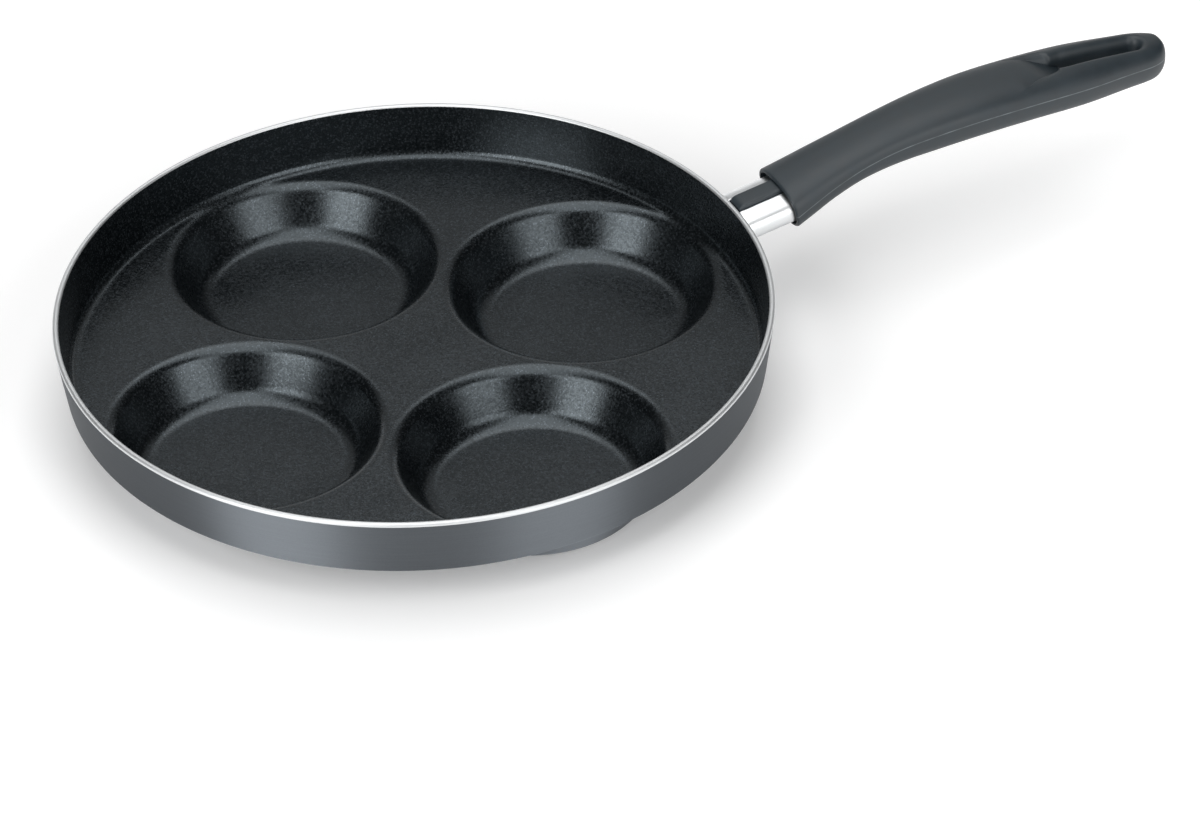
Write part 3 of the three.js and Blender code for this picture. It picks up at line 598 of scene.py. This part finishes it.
def gripRear(angle):
    # plan: the grip's outline, and inside it the hollow's edge, a tapering ramp and then the slot;
    # straight rays join the two; the arms rise from the hollow's edge as a quarter superellipse
    # and go over to the outline
    join, front, rear, tip = grip["join"], grip["slotFront"], grip["slotRear"], grip["tip"]
    share = oval(angle[:len(angle) // 2 + 1], 1, 1, 1, grip["power"])[0]
    fine = tip - (tip - front) * (1 - np.sin(np.linspace(0, np.pi / 2, gripSteps["measure"])))
    length = np.concatenate([[0], np.cumsum(np.hypot(np.diff(fine), np.diff(gripSize(fine)[0])))])
    back = np.interp(np.linspace(0, length[-1], gripSteps["back"] + 1), length, fine)
    back[0], back[-1] = front, tip
    down = 1 - (1 - np.linspace(0, 1, gripSteps["ramp"] + 1)) ** gripSteps["rampEase"]
    sideX = np.concatenate([join + (front - join) * down[:-1], back])
    sideY = gripSize(sideX)[0]
    outX = np.concatenate([np.full(len(share), join), sideX[1:], sideX[::-1][1:-1]])
    outY = np.concatenate([share * gripSize(join)[0], -sideY[1:], sideY[::-1][1:-1]])

    ahead = np.clip((front - outX) / (front - join), 0, 1)   # 1 at the join, 0 from the slot's front on
    midX = np.clip(outX, front, rear)
    reach = np.hypot(outX - midX, outY)
    slotX, slotY = midX + slotRadius(midX) * (outX - midX) / reach, slotRadius(midX) * outY / reach
    rampX = front + (grip["rampStart"] - front) * ahead
    rampY = np.sign(outY) * rampWidth(rampX)
    rampY[:len(share)] = share * grip["rampHalfWidth"]
    footX, footY = np.where(ahead > 0, rampX, slotX), np.where(ahead > 0, rampY, slotY)

    corner = topHeight(front, grip["slotFrontRadius"]) - rampHeight(front, grip["slotFrontRadius"])
    ease = np.clip((footX - grip["rampNarrow"]) / grip["fullAfter"], 0, 1)   # the arms' edges get fuller
    ease = ease * ease * (3 - 2 * ease)
    drop = corner + (grip["armDrop"] - corner) * np.clip((footX - front) / grip["dropAfter"], 0, 1)
    edge = grip["rampEdge"] + (grip["armEdge"] - grip["rampEdge"]) * ease
    bend = 2 / (grip["rampPower"] + (grip["armPower"] - grip["rampPower"]) * ease)
    footZ = np.where(ahead > 0, rampHeight(footX, footY), topHeight(footX, footY) - drop)

    span = np.hypot(outX - footX, outY - footY)
    turn = np.linspace(0, np.pi / 2, gripSteps["armEdge"] + 1)[:, None]
    beyond = np.sin(np.linspace(0, np.pi / 2, gripSteps["armTop"] + 1)[1:, None]) ** gripSteps["armEase"]
    far = np.concatenate([edge * (1 - np.cos(turn) ** bend), edge + (span - edge) * beyond])
    rise = np.concatenate([np.sin(turn) ** bend, np.ones((len(beyond), len(span)))])
    x = footX + (outX - footX) * far / span
    y = footY + (outY - footY) * far / span
    top = footZ + (topHeight(x, y) - footZ) * rise

    down = down[:, None]
    endX = front - grip["slotBlunt"] * grip["slotFrontRadius"] * np.sqrt(1 - share ** 2)
    endY = grip["slotFrontRadius"] * share
    floorX = grip["rampStart"] + (endX - grip["rampStart"]) * down
    floorY = share * rampWidth(grip["rampStart"] + (front - grip["rampStart"]) * down)

    sides = outX > front   # the slot's wall: front end first, then round the sides and the rear
    wallX, wallY = np.concatenate([endX, footX[sides]]), np.concatenate([endY, footY[sides]])
    wallTop = np.concatenate([rampHeight(endX, endY), footZ[sides]])
    level = np.linspace(0, 1, gripSteps["slotWall"] + 1)[:, None]
    middle = np.clip(wallX, front, rear)
    pinch = 1 - grip["slotWaist"] / slotRadius(middle) * np.sin(np.pi * level)
    wall = np.stack([middle + (wallX - middle) * pinch, wallY * pinch,
                     wallTop + (underHeight(wallX, wallY) - wallTop) * level], -1)
    return [
        (np.stack([x, y, top], -1), True, 0), (np.stack([x, y, underHeight(x, y)], -1), True, 0),
        (np.stack([floorX, floorY, rampHeight(floorX, floorY)], -1), False, 0),
        (np.stack([floorX, floorY, underHeight(floorX, floorY)], -1), False, 0), (wall, True, 0)]


ring = np.linspace(0, 2 * np.pi, gripSteps["around"] + 1)[:-1]
gripPatches = [(gripFront(ring), True, 0)] + gripRear(ring)
gripPiece = makePiece("handleGrip", gripPatches, [phenolic], "handle_grip")


def cutRecess(piece):
    # takes a round bar out of the grip: the screw's recess, which fades out along the underside
    x0, z0 = grip["recessStart"]
    sides = gripSteps["recess"]
    angle = np.linspace(0, 2 * np.pi, sides + 1)[:-1]
    place = np.array([grip["recessFrom"], grip["recessFrom"], grip["recessTo"], grip["recessTo"]])[:, None]
    radius = np.array([0, 1, 1, 0])[:, None] * grip["recessRadius"]
    height = z0 + grip["recessSlope"] * (place - x0)
    bar = np.stack(np.broadcast_arrays(place, radius * np.cos(angle), height + radius * np.sin(angle)), -1)
    mesh = bpy.data.meshes.new("recessBar")
    mesh.from_pydata((bar.reshape(-1, 3) * mm).tolist(), [], gridFaces(len(place), sides, 0, True).tolist())
    shell = bmesh.new()
    shell.from_mesh(mesh)
    bmesh.ops.remove_doubles(shell, verts=shell.verts, dist=weldWithin)
    bmesh.ops.recalc_face_normals(shell, faces=shell.faces)
    shell.to_mesh(mesh)
    shell.free()
    cutter = bpy.data.objects.new("recessBar", mesh)
    bpy.context.scene.collection.objects.link(cutter)
    cut = piece.modifiers.new("recess", "BOOLEAN")
    cut.object, cut.operation, cut.solver = cutter, "DIFFERENCE", "EXACT"
    final = bpy.data.meshes.new_from_object(piece.evaluated_get(bpy.context.evaluated_depsgraph_get()))
    piece.modifiers.clear()
    piece.data = final
    bpy.data.objects.remove(cutter)
    final.shade_smooth()
    final.set_sharp_from_angle(angle=sharpFrom)


cutRecess(gripPiece)
noLine = 99.0   # mm, far enough from the parting line that none is drawn


def markParting(piece):
    # how far each point of the outside is above the mould's parting line, in mm
    mesh = piece.data
    spots = np.empty(len(mesh.vertices) * 3, np.float32)
    mesh.vertices.foreach_get("co", spots)
    spots = spots.reshape(-1, 3) / mm
    outside = np.abs(spots[:, 1]) > gripLook["lineFrom"] * gripSize(spots[:, 0])[0]
    above = np.where(outside, spots[:, 2] - station(4, spots[:, 0]), noLine)
    marks = mesh.attributes.new("aboveParting", "FLOAT", "POINT")
    marks.data.foreach_set("value", above.astype(np.float32))


markParting(gripPiece)

rib = {
    "halfWidth": 3.8, "top": 6.9, "foot": 3.6, "edge": 0.9, "noseLength": 3.2, "noseHeight": 4.9,
    "rear": 17.3, "edgeSteps": 8, "noseSteps": 14,
}


def keyRib():
    # rounded-top bar along the guard's slot; its nose rises from the guard in a quarter ellipse
    turn = np.linspace(0, np.pi / 2, rib["edgeSteps"] + 1)
    corner = rib["halfWidth"] - rib["edge"] * (1 - np.cos(turn))
    dip = rib["edge"] * (1 - np.sin(turn))
    across = np.concatenate([[rib["halfWidth"]], corner, -corner[::-1], [-rib["halfWidth"]]])
    dip = np.concatenate([[rib["top"]], dip, dip[::-1], [rib["top"]]])   # the sides go down to the foot
    nose = 1 - np.cos(np.linspace(0, np.pi / 2, rib["noseSteps"] + 1))
    rise = rib["noseHeight"] + (rib["top"] - rib["noseHeight"]) * np.sqrt(1 - (1 - nose) ** 2)
    wallPlace = placeAtWall(np.zeros(1), np.full(1, rib["noseHeight"]), 2 * guard["gap"])[0]
    place = np.concatenate([wallPlace + rib["noseLength"] * nose, [rib["rear"]]])[:, None]
    top = np.concatenate([rise, [rib["top"]]])[:, None]
    up = np.maximum(top - dip, rib["foot"])
    body = onGuardLine(place, across, up)
    low = onGuardLine(place, across, np.full_like(up, rib["foot"]))
    ends = [np.stack([body[i], low[i]]) for i in (0, -1)]
    return [(body, False, 0), (low, False, 0)] + [(end, False, 0) for end in ends]


ribPiece = makePiece("handleKeyRib", keyRib(), [phenolic], "handle_grip")
ribMesh = ribPiece.data
ribMarks = ribMesh.attributes.new("aboveParting", "FLOAT", "POINT")
ribMarks.data.foreach_set("value", np.full(len(ribMesh.vertices), noLine, np.float32))
ribMesh.set_sharp_from_angle(angle=sharpFrom)

# hidden fixing keeps its solids

for node, material in (("weld_stud", weldAluminium), ("handle_screw", zincPlate),
                       ("flat_washer", zincPlate), ("spring_washer", zincPlate)):
    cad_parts[node].data.materials.clear()
    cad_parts[node].data.materials.append(material)
print("pieces made")

# floor, light and camera

studio = {
    "floorZ": -16.05, "floorSize": 12.0, "floorColour": "#f0f0f0",   # mm and metres
    # painted glow on the floor: its strength near the object and far out, and the distances over which it
    # rises
    "lift": 0.18, "liftFrom": 0.15, "farLift": 0.8, "farLiftFrom": 0.6,   # distances in metres
    "boxes": [  # name, azimuth from the camera's side, elevation, distance, width, height, watts
        ("leftBox", -42.0, 27.0, 1.6, 0.95, 1.3, 16.5),
        ("rightBox", 42.0, 27.0, 1.6, 0.95, 1.3, 11.0),
        ("topBox", 180.0, 87.0, 1.6, 1.1, 2.6, 20.5),
        ("rearPanel", 180.0, 32.0, 2.2, 3.0, 1.2, 3.3),
        ("backdrop", 180.0, 9.0, 2.4, 4.0, 0.72, 8.0),
    ],
    "world": 0.03,
}


def makeFloor():
    # pale matt sweep with a painted glow for camera, glossy and transmission rays: lifted to white more and
    # more away from the object, so the object's close shadow stays while shade further out, such as the
    # handle's shadow, is painted over
    size, z = studio["floorSize"] / 2, studio["floorZ"] * mm
    mesh = bpy.data.meshes.new("studioFloor")
    corners = [(-size, -size, z), (size, -size, z), (size, size, z), (-size, size, z)]
    mesh.from_pydata(corners, [], [(0, 1, 2, 3)])
    material, tree = newMaterial("mattPaper")
    path = addNode(tree, "ShaderNodeLightPath")
    matt = addNode(tree, "ShaderNodeBsdfDiffuse", {}, {"Color": toLinear(studio["floorColour"])})
    direct = addNode(tree, "ShaderNodeMath", {"operation": "MAXIMUM"}, {
        0: path.outputs["Is Camera Ray"], 1: path.outputs["Is Glossy Ray"]})
    seen = addNode(tree, "ShaderNodeMath", {"operation": "MAXIMUM"}, {
        0: direct.outputs[0], 1: path.outputs["Is Transmission Ray"]})
    place = addNode(tree, "ShaderNodeTexCoord").outputs["Object"]
    away = addNode(tree, "ShaderNodeVectorMath", {"operation": "LENGTH"}, {0: place})
    # painted light: the glow grows with distance from the object, lightening shade further out
    lift = addNode(tree, "ShaderNodeMapRange", {}, {
        "Value": away.outputs["Value"], "From Min": studio["liftFrom"], "From Max": studio["farLiftFrom"],
        "To Min": studio["lift"], "To Max": studio["farLift"]})
    level = addNode(tree, "ShaderNodeMath", {"operation": "MULTIPLY"}, {
        0: seen.outputs[0], 1: lift.outputs["Result"]})
    paintedGlow = addNode(tree, "ShaderNodeEmission", {}, {"Color": (1, 1, 1, 1), "Strength": level.outputs[0]})
    both = addNode(tree, "ShaderNodeAddShader", {}, {0: matt.outputs[0], 1: paintedGlow.outputs[0]})
    addNode(tree, "ShaderNodeOutputMaterial", {}, {"Surface": both.outputs[0]})
    mesh.materials.append(material)
    floor = bpy.data.objects.new("studioFloor", mesh)
    bpy.context.scene.collection.objects.link(floor)


view = {
    "place": (-0.92730, -2.04492, 1.63048), "forward": (0.3529, 0.7235, -0.5933),
    "level": (0.8988, -0.4384, 0.0), "roll": math.radians(-2.03), "lens": 240.0, "sensor": 36.0,
    "near": 0.05, "far": 50.0,
}


def makeCamera():
    # looks along forward, its own right-hand side rolled a little from level
    forward = np.array(view["forward"]) / np.linalg.norm(view["forward"])
    level = np.array(view["level"]) / np.linalg.norm(view["level"])
    up = np.cross(level, forward)
    right = level * math.cos(view["roll"]) + up * math.sin(view["roll"])
    upright = up * math.cos(view["roll"]) - level * math.sin(view["roll"])
    data = bpy.data.cameras.new("photoCamera")
    data.lens, data.sensor_width, data.sensor_fit = view["lens"], view["sensor"], "HORIZONTAL"
    data.clip_start, data.clip_end = view["near"], view["far"]
    camera = bpy.data.objects.new("photoCamera", data)
    camera.matrix_world = Matrix([
        [right[i], upright[i], -forward[i], view["place"][i]] for i in range(3)] + [[0, 0, 0, 1]])
    bpy.context.scene.collection.objects.link(camera)
    bpy.context.scene.camera = camera


def makeLight():
    # soft boxes turned to the pan, placed by angle from the camera's side, and a faint room
    back = -np.array(view["forward"][:2])
    start = math.atan2(back[1], back[0])
    for name, azimuth, elevation, distance, width, height, watts in studio["boxes"]:
        a, e = start + math.radians(azimuth), math.radians(elevation)
        to = np.array([math.cos(a) * math.cos(e), math.sin(a) * math.cos(e), math.sin(e)])
        data = bpy.data.lights.new(name, "AREA")
        data.shape, data.size, data.size_y, data.energy = "RECTANGLE", width, height, watts
        lamp = bpy.data.objects.new(name, data)
        side = np.array([-math.sin(a), math.cos(a), 0.0])
        upright = np.cross(to, side)
        spot = to * distance
        lamp.matrix_world = Matrix([
            [side[i], upright[i], to[i], spot[i]] for i in range(3)] + [[0, 0, 0, 1]])
        bpy.context.scene.collection.objects.link(lamp)
    world = bpy.data.worlds.new("paleRoom")
    world.use_nodes = True
    tree = world.node_tree
    tree.nodes.clear()
    room = addNode(tree, "ShaderNodeBackground", {}, {"Color": (1, 1, 1, 1), "Strength": studio["world"]})
    addNode(tree, "ShaderNodeOutputWorld", {}, {"Surface": room.outputs[0]})
    bpy.context.scene.world = world


makeFloor()
makeCamera()
makeLight()
bpy.context.scene.view_settings.view_transform = "Standard"
print("studio made")
